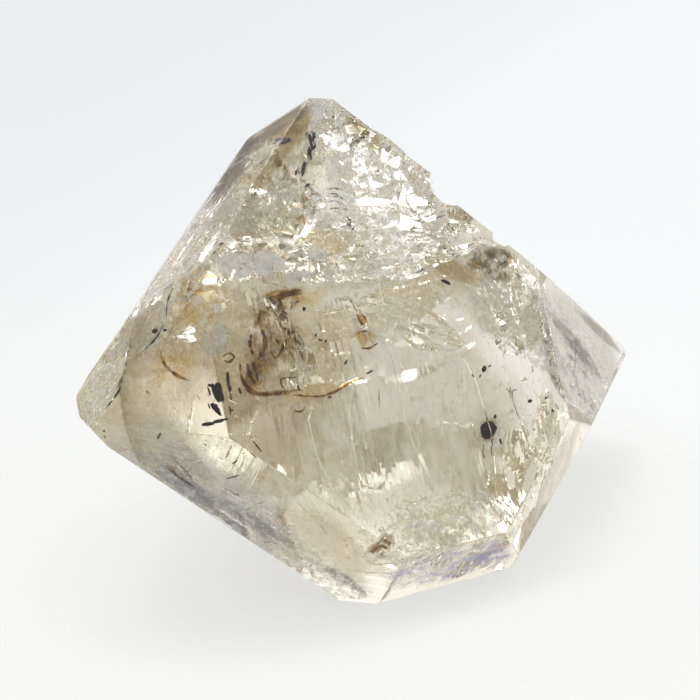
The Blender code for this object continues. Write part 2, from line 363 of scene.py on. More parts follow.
def grown_surface(steps, step_depth, ripple):
    """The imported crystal's mesh with growth steps across its prism faces and ripples on the break.

    The prism faces are cut across the long axis at uneven places, and the cuts sink along the face
    normal by step_depth times a random share. The break is cut in a lattice, and its points move
    along the normal by ripple (sin 4 d + 0.5 sin(7 d + 2 x)) with d their distance in mm from the
    point where the crystal was struck.
    """
    axis, centre = Vector(LONG_AXIS).normalized(), Vector(CENTRE) * MM
    broken, along = Vector(BREAK_NORMAL).normalized(), Vector(BREAK_ALONG).normalized()
    across = broken.cross(along)
    rng = np.random.default_rng(5)
    gaps = 0.14 + 0.5 * rng.random(steps) ** 2
    places = -13.5 + np.cumsum(gaps) * 26.0 / gaps.sum()
    bm = bmesh.new()
    bm.from_mesh(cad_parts[NODE].data)
    bmesh.ops.remove_doubles(bm, verts=bm.verts[:], dist=1e-7)
    bm.normal_update()
    cut_across(bm, centre, axis, places * MM, lambda n: abs(n.dot(axis)) < PRISM_SLOPE)
    bm.normal_update()
    for direction in (along, across):
        cut_across(bm, centre, direction, np.arange(-9, 13, 0.3) * MM,
                   lambda n: n.dot(broken) > BROKEN_SLOPE)
        bm.normal_update()
    bmesh.ops.triangulate(bm, faces=bm.faces[:])
    mesh = bpy.data.meshes.new("grown_crystal")
    bm.to_mesh(mesh)
    bm.free()
    points = read(mesh.vertices, "co", 3)
    local = (points - np.array(centre)) / MM
    normal, whole = region_weights(mesh, lambda n: np.abs(n @ np.array(axis)) < PRISM_SLOPE)
    sunk = np.interp(local @ np.array(axis), places, step_depth * rng.random(steps))
    points -= normal * (whole * sunk)[:, None] * MM
    normal, whole = region_weights(mesh, lambda n: n @ np.array(broken) > BROKEN_SLOPE)
    away = np.linalg.norm(local - np.array(STRUCK), axis=1)
    wave = np.sin(4 * away) + 0.5 * np.sin(7 * away + 2 * (local @ np.array(along)))
    points += normal * (whole * wave * ripple)[:, None] * MM
    mesh.vertices.foreach_set("co", points.ravel())
    mesh.update()
    return mesh


def smooth_path(points, steps):
    """A Catmull-Rom curve through the points: with t from 0 to 1 between p1 and p2 it is
    0.5 (2 p1 + (p2 - p0) t + (2 p0 - 5 p1 + 4 p2 - p3) t^2 + (3 p1 - p0 - 3 p2 + p3) t^3)."""
    p = np.concatenate([2 * points[:1] - points[1:2], points, 2 * points[-1:] - points[-2:-1]])
    s = np.linspace(0, len(points) - 1 - 1e-6, steps)
    k = s.astype(int)
    t = (s - k)[:, None]
    p0, p1, p2, p3 = p[k], p[k + 1], p[k + 2], p[k + 3]
    return 0.5 * (2 * p1 + (p2 - p0) * t + (2 * p0 - 5 * p1 + 4 * p2 - p3) * t ** 2
                  + (3 * p1 - p0 - 3 * p2 + p3) * t ** 3)


def strand_bodies(rows, steps, sides, rough):
    """Closed strands, one per row of pixels, depth, half width and half thickness in mm, as an array.

    Round the smooth path the point is path + across w(s) cos t + lift h(s) sin t, where the width
    w(s) = half width * (1 - (2 s - 1)^4)^0.5 * (1 + rough * three sines of s) and h(s) is likewise.
    """
    rng = np.random.default_rng(3)
    made = []
    s = (np.arange(steps) + 0.5) / steps
    t = np.linspace(0, 2 * math.pi, sides, endpoint=False)
    for pixels, depth, wide, thick in rows:
        anchors = np.array([inside(*pixel, depth) for pixel in pixels])
        path = smooth_path(anchors, steps + 2)
        along = unit(np.gradient(path, axis=0))[1:-1]
        across = unit(np.cross(along, NEAR))
        lift = np.cross(across, along)
        phase = rng.uniform(0, 2 * math.pi, (3, 1))
        swell = 1 + rough * np.sin(np.array([[7.0], [13.0], [29.0]]) * s + phase).sum(0) / 1.7
        taper = (np.sqrt(1 - (2 * s - 1) ** 4) * np.clip(swell, 0.25, 2) * MM)[:, None, None]
        ring = path[1:-1, None] + taper * (wide * np.cos(t)[:, None] * across[:, None]
                                           + thick * np.sin(t)[:, None] * lift[:, None])
        made.append(np.concatenate([path[:1], ring.reshape(-1, 3), path[-1:]]))
    return np.array(made)


def strands(name, material, rows, rough):
    """A mesh of strands of 28 rings with 6 points each, kept inside the crystal."""
    bodies = strand_bodies(rows, 28, 6, rough)
    return mesh_object(name, kept_inside(bodies, 0.08 * MM), ring_faces(len(rows), 28, 6), material)


# Materials


def add(tree, kind, links=None, **settings):
    """Adds a shader node: settings go to its fields or input sockets, links joins outputs to its
    inputs."""
    made = tree.nodes.new("ShaderNode" + kind)
    for key, value in settings.items():
        if key in made.inputs:
            made.inputs[key].default_value = value
        else:
            setattr(made, key, value)
    for key, output in (links or {}).items():
        tree.links.new(output, made.inputs[key])
    return made


def new_material(name):
    material = bpy.data.materials.new(name)
    material.use_nodes = True
    material.node_tree.nodes.clear()
    return material, material.node_tree


def ramp(tree, source, stops):
    """A colour ramp on a value, from (place, hex colour) pairs."""
    made = add(tree, "ValToRGB", {"Fac": source})
    elements = made.color_ramp.elements
    while len(elements) < len(stops):
        elements.new(0.5)
    for element, (place, code) in zip(elements, stops):
        element.position = place
        element.color = linear(code)
    return made.outputs["Color"]


def spread(tree, source, low, high, to_low=0.0, to_high=1.0):
    """Maps the range low to high of a value onto another range, smoothly and clamped."""
    return add(tree, "MapRange", {"Value": source}, interpolation_type="SMOOTHSTEP",
               **{"From Min": low, "From Max": high, "To Min": to_low, "To Max": to_high}
               ).outputs["Result"]


def noise(tree, where, size, detail, rough, distort=0.0):
    """Noise with features of a size in mm on the Object coordinates."""
    return add(tree, "TexNoise", {"Vector": where}, Scale=1.0 / (size * MM),
               Detail=detail, Roughness=rough, Distortion=distort).outputs["Fac"]


def object_place(tree):
    """The Object coordinates, in metres."""
    return add(tree, "TexCoord").outputs["Object"]


def along_crystal(tree, stretch):
    """The Object coordinates turned to the crystal's long axis, with patterns stretched by a factor
    along it and across it."""
    return add(tree, "Mapping", {"Vector": object_place(tree)}, vector_type="TEXTURE",
               Rotation=Vector(LONG_AXIS).to_track_quat("X", "Z").to_euler(),
               Scale=stretch).outputs["Vector"]


def times(tree, first, second):
    return add(tree, "Math", {0: first, 1: second}, operation="MULTIPLY").outputs[0]


def rim_fade(tree, edge):
    """0 at the rim of a lens body, rising to 1 over the edge."""
    rim = add(tree, "Attribute", attribute_name="rim").outputs["Fac"]
    return spread(tree, rim, 0.0, edge)


def clear_contact(tree):
    """Full contact with the quartz, which changes nothing."""
    return add(tree, "BsdfTransparent", Color=linear("#FFFFFF")).outputs["BSDF"]


def patched(tree, share, shader):
    """A shader over a share of the surface, and full contact over the rest."""
    return add(tree, "MixShader",
               {0: share, 1: clear_contact(tree), 2: shader}).outputs[0]


def milky(tree, colour):
    """Light scattered both ways by a white haze."""
    front = add(tree, "BsdfDiffuse", {"Color": colour}).outputs["BSDF"]
    through = add(tree, "BsdfTranslucent", {"Color": colour}).outputs["BSDF"]
    return add(tree, "MixShader", {1: front, 2: through}, Fac=0.5).outputs[0]


def finished(material, surface, **more):
    """Joins the shaders to the material's output."""
    add(material.node_tree, "OutputMaterial", {"Surface": surface, **more})
    return material


def smoky_quartz(settings):
    """Smoky quartz with natural growth faces: glassy and clear, faintly tan in depth, with fine
    striations across the long axis that bend what shows through."""
    material, tree = new_material("smoky_quartz_growth_faces")
    lines = noise(tree, along_crystal(tree, (1.0, 14.0, 14.0)), 0.55, 3.0, 0.6)
    bump = add(tree, "Bump", {"Height": lines}, Strength=0.25, Distance=0.05 * MM)
    shader = add(tree, "BsdfPrincipled", {"Normal": bump.outputs["Normal"]},
                 **{"Base Color": linear("#FFFEFB"), "Roughness": 0.01, "IOR": settings.ior,
                    "Transmission Weight": 1.0})
    volume = add(tree, "VolumeAbsorption", Color=tuple(settings.smoke) + (1.0,),
                 Density=settings.smoke_density)
    return finished(material, shader.outputs["BSDF"], Volume=volume.outputs["Volume"])


def clear_film():
    """The clear far side of a crack or veil, in touch with the quartz: it changes nothing."""
    material, tree = new_material("clear_contact")
    return finished(material, clear_contact(tree))


def open_crack(name, patch, cover, frost, stops, rough):
    """An open crack in quartz: thin air that mirrors light past 40 degrees and is clear below it.
    It comes in patches of a size in mm, and is frosted where it is crushed."""
    material, tree = new_material(name)
    share = add(tree, "Fresnel", IOR=1 / QUARTZ_IOR).outputs["Fac"]
    if cover < 1:
        broad = noise(tree, object_place(tree), patch, 2.0, 0.6, 0.3)
        share = times(tree, share, spread(tree, broad, 0.60 - cover * 0.3, 0.66 - cover * 0.3))
    gloss = add(tree, "BsdfAnisotropic", Color=linear("#FFFDF8"),
                Roughness=rough).outputs["BSDF"]
    done = patched(tree, share, gloss)
    if frost > 0:
        small = noise(tree, object_place(tree), patch * 0.25, 2.0, 0.65)
        white = spread(tree, small, 0.45, 0.6, 0.0, frost)
        done = add(tree, "MixShader",
                   {0: white, 1: done, 2: milky(tree, ramp(tree, small, stops))}).outputs[0]
    return finished(material, done)


def haze(name, stops, size, cover, stretch=(1.0, 1.0, 1.0), edge=0.4):
    """A haze of tiny fluid drops and clay in quartz: coloured by the stops, cloudy, and fading out
    towards its rim over the edge. The cover runs from the first value in thin places to the second
    in thick. Some finishes use it for painted highlights and for a painted reflection instead."""
    material, tree = new_material(name)
    cloudy = noise(tree, along_crystal(tree, stretch), size, 3.0, 0.7, 0.4)
    share = times(tree, spread(tree, cloudy, 0.38, 0.62, *cover), rim_fade(tree, edge))
    return finished(material, patched(tree, share, milky(tree, ramp(tree, cloudy, stops))))


def stain(name, stops, size, body, cover):
    """An iron stain in a crack: a thin film of rust that tints what shows through it, in flecks, and
    with a share of its body scattering light. Some finishes use it for painted shade and one for a
    painted reflection instead."""
    material, tree = new_material(name)
    flecks = noise(tree, object_place(tree), size, 4.0, 0.65, 0.4)
    colour = ramp(tree, flecks, stops)
    tinted = add(tree, "BsdfTransparent", {"Color": colour}).outputs["BSDF"]
    done = add(tree, "MixShader", {1: tinted, 2: milky(tree, colour)}, Fac=body).outputs[0]
    if cover[0] < 1:
        share = times(tree, spread(tree, flecks, 0.4, 0.55, *cover), rim_fade(tree, 0.5))
        done = patched(tree, share, done)
    return finished(material, done)


def rainbow_film(name, stops, cover):
    """A crack so thin that it shows interference colours, in bands of the stops."""
    material, tree = new_material(name)
    gap = noise(tree, along_crystal(tree, (3.0, 0.8, 0.8)), 1.1, 3.0, 0.6, 0.6)
    grain = spread(tree, noise(tree, object_place(tree), 0.5, 3.0, 0.7), 0.36, 0.62, *cover)
    share = times(tree, grain, rim_fade(tree, 0.35))
    return finished(material, patched(tree, share, milky(tree, ramp(tree, gap, stops))))


def bitumen():
    """Hard black bitumen, as in grains sealed in this quartz: brown-black with a pitchy gloss."""
    material, tree = new_material("black_bitumen")
    dark = noise(tree, object_place(tree), 0.3, 4.0, 0.55)
    colour = ramp(tree, dark, ((0.35, "#060504"), (0.75, "#2A1C12")))
    shader = add(tree, "BsdfPrincipled", {"Base Color": colour}, Roughness=0.6, IOR=1.6,
                 **{"Specular IOR Level": 0.15})
    return finished(material, shader.outputs["BSDF"])


def matte_floor(tone, glow):
    """Matt white acrylic lit from below: no shine, hardly a shadow. Its glow carries a painted tint
    of the light, a little cooler far away, and painted shade, a little darker far left."""
    material, tree = new_material("backlit_acrylic_with_painted_shade")
    where = object_place(tree)
    parts = add(tree, "SeparateXYZ", {0: where})
    # painted tint of the light: the glow turns from warm near to cool far away
    far = spread(tree, parts.outputs["Y"], -0.06, 0.12)
    colour = ramp(tree, far, ((0.0, "#FFFFF8"), (0.45, "#FEFFFF"), (1.0, "#F6FCFF")))
    paint = add(tree, "BsdfDiffuse", Color=linear(tone)).outputs["BSDF"]
    # painted shade: the glow falls off towards the far left
    painted_shade_far_left = add(tree, "VectorMath", {0: where}, operation="DOT_PRODUCT")
    painted_shade_far_left.inputs[1].default_value = (-1.0, 0.45, 0.0)
    light = spread(tree, painted_shade_far_left.outputs["Value"], 0.01, 0.075, glow, glow * 0.84)
    lit = add(tree, "Emission", {"Color": colour, "Strength": light}).outputs["Emission"]
    return finished(material, add(tree, "AddShader", {0: paint, 1: lit}).outputs[0])


# Settings that a user would change


class HerkimerCrystalSettings(bpy.types.PropertyGroup):
    ior: bpy.props.FloatProperty(
        name="IOR", description="How strongly the quartz bends light", default=QUARTZ_IOR,
        min=1.4, max=1.7)
    smoke: bpy.props.FloatVectorProperty(
        name="Smoke", description="Colour that the stone keeps in depth", subtype="COLOR",
        default=(0.80, 0.64, 0.26), min=0.0, max=1.0)
    smoke_density: bpy.props.FloatProperty(
        name="Smoke density", description="Absorption per metre", default=12.0, min=0.0)
    growth_steps: bpy.props.IntProperty(
        name="Growth steps", description="Number of striations across the prism faces", default=84,
        min=2, max=400)
    step_depth: bpy.props.FloatProperty(
        name="Step depth", description="Most that a striation sinks into its face",
        default=0.04 * MM, subtype="DISTANCE", unit="LENGTH", min=0.0, precision=6)
    ripple: bpy.props.FloatProperty(
        name="Ripple", description="Height of the ripples on the break", default=0.02 * MM,
        subtype="DISTANCE", unit="LENGTH", min=0.0, precision=6)


class HerkimerStageSettings(bpy.types.PropertyGroup):
    floor_radius: bpy.props.FloatProperty(
        name="Floor radius", description="Radius of the pale floor", default=2.0, subtype="DISTANCE",
        unit="LENGTH", min=0.1)
    floor_glow: bpy.props.FloatProperty(
        name="Floor glow", description="Light of the backlit floor", default=0.62, min=0.0)
    sky: bpy.props.FloatProperty(
        name="Sky", description="Light of the studio walls; overhead it is 2.2 times as bright",
        default=1.42, min=0.0)


# Operators


class HERKIMER_OT_stage(bpy.types.Operator):
    """Pale floor, soft studio light and the camera"""
    bl_idname = "herkimer.stage"
    bl_label = "Stage"

    def execute(self, context):
        settings = context.scene.herkimer_stage
        scene = context.scene
        t = np.linspace(0, 2 * math.pi, 96, endpoint=False)
        rim = np.c_[np.cos(t), np.sin(t), 0 * t] * settings.floor_radius
        mesh = bpy.data.meshes.new("floor")
        mesh.from_pydata(rim, [], [tuple(range(len(t)))])
        mesh.materials.append(matte_floor("#757574", settings.floor_glow))
        floor = bpy.data.objects.new("floor", mesh)
        scene.collection.objects.link(floor)

        world = bpy.data.worlds.new("studio_sky")
        scene.world = world
        world.use_nodes = True
        tree = world.node_tree
        tree.nodes.clear()
        where = add(tree, "TexCoord").outputs["Generated"]
        parts = add(tree, "SeparateXYZ", {0: where})
        tone = ramp(tree, parts.outputs["Z"], ((0.0, "#DEDBD6"), (0.3, "#CFCDC9"),
                                               (0.6, "#E4E6E8"), (1.0, "#F0F3F6")))
        behind = spread(tree, parts.outputs["Y"], -0.6, 0.7, 0.7, 1.15)
        over = spread(tree, parts.outputs["Z"], 0.45, 0.95, settings.sky, settings.sky * 2.2)
        back = add(tree, "Background",
                   {"Color": tone, "Strength": times(tree, behind, over)})
        add(tree, "OutputWorld", {"Surface": back.outputs[0]})

        lamp = bpy.data.lights.new("soft_box", "AREA")
        lamp.size = 0.32
        lamp.energy = 1.7
        lamp.cycles.max_bounces = 3
        obj = bpy.data.objects.new("soft_box", lamp)
        obj.location = (-0.1, 0.15, 0.75)
        obj.rotation_euler = (-obj.location).to_track_quat("-Z", "Y").to_euler()
        scene.collection.objects.link(obj)

        camera = bpy.data.cameras.new("camera")
        camera.sensor_width = SENSOR
        camera.lens = SENSOR * DISTANCE * PIXELS_PER_MM / PICTURE
        camera.clip_start = 0.01
        camera.clip_end = 20.0
        obj = bpy.data.objects.new("camera", camera)
        obj.location = camera_place()
        obj.rotation_euler = (math.pi / 2 - ELEVATION, 0.0, 0.0)
        scene.collection.objects.link(obj)
        scene.camera = obj

        scene.view_settings.view_transform = "Standard"
        scene.cycles.max_bounces = 9
        scene.cycles.transmission_bounces = 9
        scene.cycles.glossy_bounces = 6
        scene.cycles.diffuse_bounces = 3
        scene.cycles.transparent_max_bounces = 32
        scene.cycles.sample_clamp_indirect = 4.0
        scene.cycles.use_light_tree = False
        world.cycles.sampling_method = "NONE"
        return {"FINISHED"}


class HERKIMER_OT_crystal(bpy.types.Operator):
    """The clear smoky quartz of the crystal"""
    bl_idname = "herkimer.crystal"
    bl_label = "Crystal"

    def execute(self, context):
        settings = context.scene.herkimer_crystal
        mesh = grown_surface(settings.growth_steps, settings.step_depth / MM, settings.ripple / MM)
        mesh.materials.clear()
        mesh.materials.append(smoky_quartz(settings))
        crystal = bpy.data.objects.new("grown_crystal", mesh)
        context.scene.collection.objects.link(crystal)
        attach(crystal, BODY)
        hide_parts(NODE)
        return {"FINISHED"}


# Sheets sealed in the stone: name, finish, pixel, depth, half length, half width, turn in the picture
# and bend. Broken ones go on with the lean right and up (None lies parallel to the face, as smooth
# sheets do), the number of facet cells and their tilt.
SHEETS = (
    ("ground_upper_left", "brown_ground", (262, 178), 3.4, 5.6, 3.0, 58, 0.3),
    ("ground_split", "cream_ground", (378, 185), 2.8, 5.6, 3.4, -50, 0.3),
    ("ground_band", "cream_ground", (310, 248), 3.6, 9.0, 3.2, 3, 0.3),
    ("ground_right", "cream_ground", (470, 280), 3.4, 6.4, 2.8, -40, 0.3),
    ("ground_left", "tan_ground", (165, 385), 2.8, 6.2, 4.2, 55, 0.3),
    ("ground_centre", "grey_ground", (400, 420), 4.6, 9.4, 7.4, 10, 0.5),
    ("ground_centre_left", "tan_ground", (285, 350), 3.6, 5.2, 4.6, 20, 0.3),
    # painted reflection: a blue-grey layer at the lower left, where the crystal mirrors its
    # surroundings
    ("ground_low_left", "painted_reflection_ground", (210, 500), 2.4, 8.6, 2.8, -36, 0.2),
    ("veil_left_face", "tan_haze", (160, 380), 1.4, 6.0, 4.2, 55, 0.2),
    ("veil_left_rim", "cream_haze", (150, 330), 0.9, 7.6, 1.2, 54, 0.1),
    ("veil_left_edge", "tan_ground", (180, 248), 0.5, 8.8, 0.8, 57, 0.0),
    ("crack_left_edge", "crushed", (186, 240), 0.3, 7.6, 0.7, 57, 0.0, None, 260, 0.25),
    ("veil_centre", "grey_haze", (390, 430), 2.6, 8.6, 6.4, 10, 0.4),
    # painted reflection: a blue-grey haze at the lower left
    ("veil_low_left", "painted_reflection_haze", (200, 490), 1.2, 7.6, 2.6, -36, 0.2),
    ("veil_low", "tan_ground", (320, 545), 1.4, 5.0, 2.0, -36, 0.2),
    ("veil_low_right", "grey_haze", (450, 555), 0.8, 5.6, 1.8, 12, 0.1),
    ("veil_right_face", "tan_ground", (585, 360), 1.2, 6.4, 3.0, -55, 0.1),
    ("veil_right_wall", "grey_ground", (555, 478), 0.8, 4.4, 0.8, 66, 0.0),
    ("veil_upper_right", "brown_haze", (480, 265), 2.2, 4.6, 2.2, -38, 0.2),
    ("crack_top", "crack", (262, 175), 2.0, 4.6, 2.6, 60, 0.4, (0.3, 0.4), 160, 0.5),
    ("crack_split", "crushed", (372, 170), 0.7, 5.4, 3.0, -52, 0.3, None, 260, 0.35),
    ("crack_band", "crushed", (320, 235), 1.4, 8.4, 3.0, 3, 0.4, (0.1, 0.5), 300, 0.6),
    ("crack_band_left", "crack", (232, 262), 1.0, 2.6, 1.5, 10, 0.2, (0.2, -1.0), 16, 0.35),
    ("crack_band_inner", "crack", (268, 262), 1.0, 1.8, 1.3, -8, 0.2, (-0.3, -1.1), 12, 0.3),
    # painted highlights: white, warm and pale patches where cracks flash with the light
    ("painted_flash_left", "white", (235, 266), 0.5, 1.0, 0.9, 12, 0.1, None, 22, 0.3),
    ("painted_flash_middle", "white", (265, 263), 0.5, 1.05, 0.8, -12, 0.1, None, 18, 0.3),
    ("painted_flash_right", "white", (318, 258), 0.8, 0.6, 0.3, 20, 0.1, (-0.2, -1.0), 12, 0.4),
    ("painted_flash_top", "white", (352, 150), 0.6, 1.3, 0.2, -30, 0.1, (0.0, -0.6), 20, 0.4),
    ("painted_flash_low", "white", (300, 275), 0.8, 0.9, 0.25, 8, 0.1, (0.0, -0.8), 12, 0.4),
    ("painted_flash_warm", "warm", (203, 314), 0.8, 0.8, 0.55, 40, 0.1, (0.3, -0.8), 8, 0.3),
    ("painted_flash_grey", "pale", (218, 340), 0.9, 0.95, 0.75, 70, 0.1, (0.5, -0.4), 30, 0.3),
    ("crack_band_middle", "crack", (320, 250), 1.6, 4.4, 1.8, -6, 0.3, (-0.1, -0.9), 90, 0.5),
    ("crack_band_right", "crack", (405, 250), 1.6, 4.6, 1.8, 14, 0.3, (-0.3, -0.9), 120, 0.5),
    ("crack_band_upper", "crack", (290, 215), 1.6, 5.0, 1.8, -12, 0.3, (0.3, -0.8), 120, 0.6),
    ("crack_split_low", "crack", (385, 190), 1.0, 3.6, 2.2, -50, 0.3, (-0.5, -0.9), 120, 0.5),
    ("crack_split_top", "crack", (350, 140), 0.9, 3.0, 1.6, -45, 0.3, (0.2, -1.0), 70, 0.5),
    ("crack_left_rim", "crushed", (150, 325), 0.7, 7.6, 1.1, 54, 0.1, None, 240, 0.4),
    ("crack_left_face", "crack", (205, 318), 1.2, 1.9, 1.4, 30, 0.2, (0.6, -0.9), 20, 0.4),
    ("crack_right", "crushed", (515, 305), 1.8, 4.6, 2.4, -42, 0.3, (0.2, 0.4), 240, 0.6),
    ("crack_right_flash", "crack", (520, 318), 1.6, 4.4, 2.0, -52, 0.3, (-0.3, -0.9), 90, 0.5),
    ("crack_right_wall", "crack", (548, 440), 2.0, 4.8, 1.2, 64, 0.2, (1.0, 0.1), 60, 0.3),
    ("crack_low_rim", "crushed", (250, 530), 1.0, 8.0, 1.6, -35, 0.2, None, 300, 0.4),
    ("crack_low_right", "crushed", (450, 525), 1.2, 5.0, 1.8, 10, 0.2, (0.1, -0.3), 240, 0.5),
    ("crack_centre_left", "crack", (272, 350), 2.6, 3.6, 2.8, 60, 0.4, (0.3, 0.5), 160, 0.5),
    ("crack_centre_top", "crack", (400, 320), 2.8, 4.4, 1.6, -12, 0.3, (0.2, 0.6), 120, 0.4),
    ("crack_deep_middle", "crack", (380, 330), 8.0, 6.0, 3.6, 10, 0.6, (-0.2, -0.6), 120, 0.4),
    ("crack_deep_right", "crack", (470, 430), 9.0, 5.0, 4.0, 70, 0.6, (0.5, 0.2), 90, 0.3),
    ("veil_tip_left", "tan_haze", (105, 405), 0.8, 2.2, 1.6, 60, 0.1),
    # painted shade: grey-brown tints along the upper left rim, where the faces show darker by the
    # light
    ("painted_shade_top_edge", "painted_edge_shade", (263, 131), 0.3, 3.8, 1.0, 34, 0.0),
    ("painted_shade_top_flank", "painted_edge_shade", (228, 169), 0.3, 2.8, 1.0, 58, 0.0),
    ("painted_shade_top_face", "smoke", (262, 158), 0.8, 3.6, 1.2, 50, 0.0),
    ("painted_shade_top", "smoke", (290, 125), 1.0, 1.6, 1.4, 40, 0.1),
    ("smoke_split", "smoke", (365, 135), 0.8, 2.0, 0.7, -38, 0.1),
    ("smoke_right", "brown", (496, 264), 0.5, 1.9, 1.3, -30, 0.0),
    ("smoke_right_spot", "brown", (501, 257), 0.4, 0.9, 0.6, -20, 0.0),
    ("smoke_right_low", "brown", (478, 262), 0.8, 0.9, 0.5, 20, 0.0),
    ("smoke_band_edge", "smoke", (455, 270), 1.0, 2.4, 0.7, -20, 0.0),
    # painted reflection: blue-grey tints along the lower left edge
    ("painted_reflection_upper", "painted_reflection_tint", (182, 478), 0.6, 3.4, 0.35, -38, 0.0),
    ("painted_reflection_lower", "painted_reflection_tint", (196, 497), 0.5, 4.6, 0.45, -36, 0.0),
    ("painted_reflection_end", "painted_reflection_tint", (250, 520), 0.6, 3.2, 0.5, -34, 0.0),
    ("painted_reflection_corner", "painted_reflection_tint", (345, 580), 0.5, 2.2, 0.4, -30, 0.0),
    ("smoke_brown_middle", "smoke", (272, 345), 1.6, 2.6, 1.8, 70, 0.1),
    ("smoke_left", "yellow", (172, 368), 1.2, 1.8, 1.0, 20, 0.1),
    ("smoke_low", "brown", (380, 548), 0.8, 1.1, 0.6, 40, 0.1),
    # painted shade: grey-brown tints on the right face and along its rim
    ("painted_shade_right_face", "painted_edge_shade", (575, 345), 0.6, 3.4, 0.5, -48, 0.0),
    ("painted_shade_right_edge", "painted_edge_shade", (600, 332), 0.4, 2.6, 0.4, -38, 0.0),
    ("crack_right_face", "crushed", (580, 368), 0.8, 4.6, 1.8, -58, 0.1, None, 240, 0.4),
    ("ochre_left", "ochre", (190, 290), 1.0, 1.8, 0.8, 65, 0.1),
    ("ochre_left_deep", "yellow", (196, 300), 1.6, 2.6, 1.4, 60, 0.1),
    ("ochre_middle", "ochre", (282, 300), 1.3, 1.8, 0.8, 14, 0.1),
    ("ochre_middle_left", "ochre", (264, 322), 1.4, 1.6, 0.6, 66, 0.1),
    ("ochre_middle_low", "ochre", (258, 372), 1.6, 1.8, 0.8, 72, 0.1),
    ("ochre_arc", "yellow", (310, 392), 1.6, 2.6, 0.5, 6, 0.1),
    ("ochre_amber", "ochre", (284, 313), 1.1, 1.0, 0.32, 112, 0.0),
    ("wedge_white", "white", (318, 111), 0.4, 0.75, 0.32, 84, 0.0),
    ("wedge_white_top", "white", (322, 105), 0.35, 0.55, 0.14, -10, 0.0),
    ("arc_gold_top", "gold", (284, 294), 1.2, 1.5, 0.36, 12, 0.0),
    ("arc_gold_left", "gold", (263, 311), 1.2, 1.3, 0.34, 62, 0.0),
    ("arc_gold_low", "gold", (252, 376), 1.3, 1.1, 0.5, 70, 0.0),
    ("arc_gold_foot", "gold", (276, 393), 1.3, 1.7, 0.22, 4, 0.0),
    ("yellow_smear", "yellow", (312, 298), 1.2, 1.2, 0.5, 15, 0.0),
    ("brown_zone", "smoke", (276, 345), 1.5, 1.6, 1.2, 80, 0.1),
    ("yellow_band", "yellow", (325, 238), 1.2, 2.2, 0.9, -10, 0.1),
    ("yellow_left", "yellow", (204, 316), 1.0, 0.9, 0.7, 20, 0.1),
    ("loop_right", "ochre", (366, 339), 1.2, 0.8, 0.6, 0, 0.0),
    ("loop_right_top", "ochre", (362, 319), 1.2, 0.5, 0.3, -55, 0.0),
    ("grain_edge", "brown", (489, 431), 1.9, 0.9, 0.75, 80, 0.0),
    ("halo", "cream_ground", (489, 432), 2.8, 1.3, 1.2, 0, 0.0),
    ("rainbow_low", "lilac", (450, 565), 0.4, 4.4, 1.2, 12, 0.0),
    ("rainbow_corner", "lilac", (490, 556), 0.5, 1.4, 1.2, 30, 0.0),
    ("rainbow_straw", "straw", (450, 522), 0.6, 3.6, 1.5, 10, 0.05),
    ("rainbow_left", "straw", (152, 455), 0.5, 1.4, 0.8, -30, 0.0),
)


